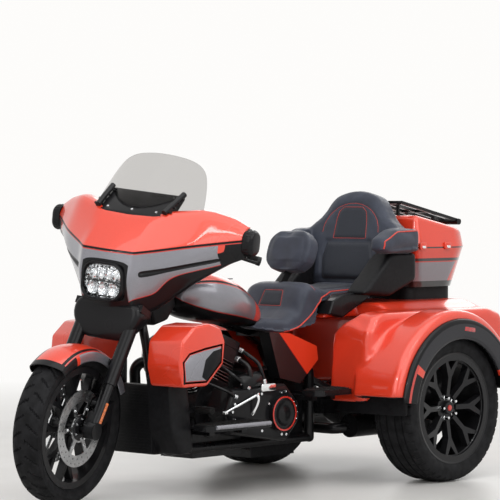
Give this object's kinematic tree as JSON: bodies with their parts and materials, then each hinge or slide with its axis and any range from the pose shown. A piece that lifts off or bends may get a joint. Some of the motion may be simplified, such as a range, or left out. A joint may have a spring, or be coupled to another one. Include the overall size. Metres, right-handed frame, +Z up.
{
  "type": "motorised trike",
  "caption": "Touring trike with an open V-twin, a fork-mounted fairing and screen, padded seats with backrests, and a wide rear body over two driven wheels with a trunk and a lidded top box.",
  "frame": {"origin": "on the floor, in the middle of the whole vehicle's length and width", "axes": "+X forward, +Y to the rider's left, +Z up"},
  "size_m": [2.6885, 1.39, 1.4476],
  "materials": {
    "orange_paint": "gloss clear coat",
    "graphite_paint": "gloss metallic",
    "gloss_black": "gloss",
    "black_metal": "satin",
    "engine_black": "satin black with bright edges",
    "wheel_black": "gloss black",
    "disc_steel": "ground",
    "black_plastic": "satin",
    "seat_leather": "grained",
    "smoked_screen": "clear smoke",
    "lamp_glass": "clear",
    "red_lens": "clear red",
    "grip_rubber": "ribbed",
    "tyre": "matt"
  },
  "bodies": {
    "chassis": {"frame": "black_metal", "engine_case": "black_metal", "cylinders": "engine_black", "rocker_covers": "orange_paint", "primary_cover": "engine_black", "air_cleaner": "engine_black", "gearbox": "black_metal", "exhaust": "black_metal", "oil_cooler": "black_plastic", "lower_fairings": "orange_paint", "fuel_tank": "orange_paint", "seat": "seat_leather", "rider_backrest": "seat_leather", "backrest_post": "black_metal", "passenger_backrest": "seat_leather", "speaker_pods": "black_plastic", "side_covers": "gloss_black", "seat_panels": "gloss_black", "rear_body": "orange_paint", "fender_bands": "graphite_paint", "rear_lamps": "red_lens", "top_box_base": "graphite_paint", "rider_footboards": "black_metal", "passenger_footboards": "black_metal", "rear_axle": "black_metal", "swingarm": "black_metal", "rear_shocks": "black_metal", "foot_controls": "black_metal"},
    "front_end": {"triple_clamps": "black_metal", "fork_tubes": "gloss_black", "fork_lowers": "gloss_black", "front_fender": "orange_paint", "front_calipers": "gloss_black", "fairing_outer": "orange_paint", "fairing_inner": "black_plastic", "windscreen": "smoked_screen", "screen_vent": "black_plastic", "headlamp": "lamp_glass", "handlebar": "gloss_black", "grips": "grip_rubber", "mirrors": "gloss_black"},
    "front_wheel": {"front_tyre": "tyre", "front_rim": "wheel_black", "front_discs": "disc_steel"},
    "rear_wheel_left": {"rear_tyre_left": "tyre", "rear_rim_left": "wheel_black"},
    "rear_wheel_right": {"rear_tyre_right": "tyre", "rear_rim_right": "wheel_black"},
    "top_box_lid_body": {"top_box_lid": "orange_paint", "luggage_rack": "black_metal"},
    "trunk_door_body": {"trunk_door": "orange_paint"}
  },
  "joints": [
    {"name": "steering", "type": "hinge", "parent": "chassis", "child": "front_end", "pos_m": [1.135, 0, 0], "axis": [-0.4384, 0, 0.8988], "range_deg": [-55, 25]},
    {"name": "front_wheel_spin", "type": "hinge", "parent": "front_end", "child": "front_wheel", "pos_m": [1.03344, 0.01319, 0.32053], "axis": [-0.2326, 0.9659, -0.1135], "continuous": true},
    {"name": "rear_left_spin", "type": "hinge", "parent": "chassis", "child": "rear_wheel_left", "pos_m": [-0.705, 0.548, 0.3255], "axis": [0, 1, 0], "continuous": true},
    {"name": "rear_right_spin", "type": "hinge", "parent": "chassis", "child": "rear_wheel_right", "pos_m": [-0.705, -0.548, 0.3255], "axis": [0, 1, 0], "continuous": true},
    {"name": "top_box_lid_hinge", "type": "hinge", "parent": "chassis", "child": "top_box_lid_body", "pos_m": [-1.112, -0.281, 1.03], "axis": [1, 0, 0], "range_deg": [0, 80]},
    {"name": "trunk_door_hinge", "type": "hinge", "parent": "chassis", "child": "trunk_door_body", "pos_m": [-1.327, 0, 0.437], "axis": [0, -1, 0], "range_deg": [0, 85]}
  ]
}
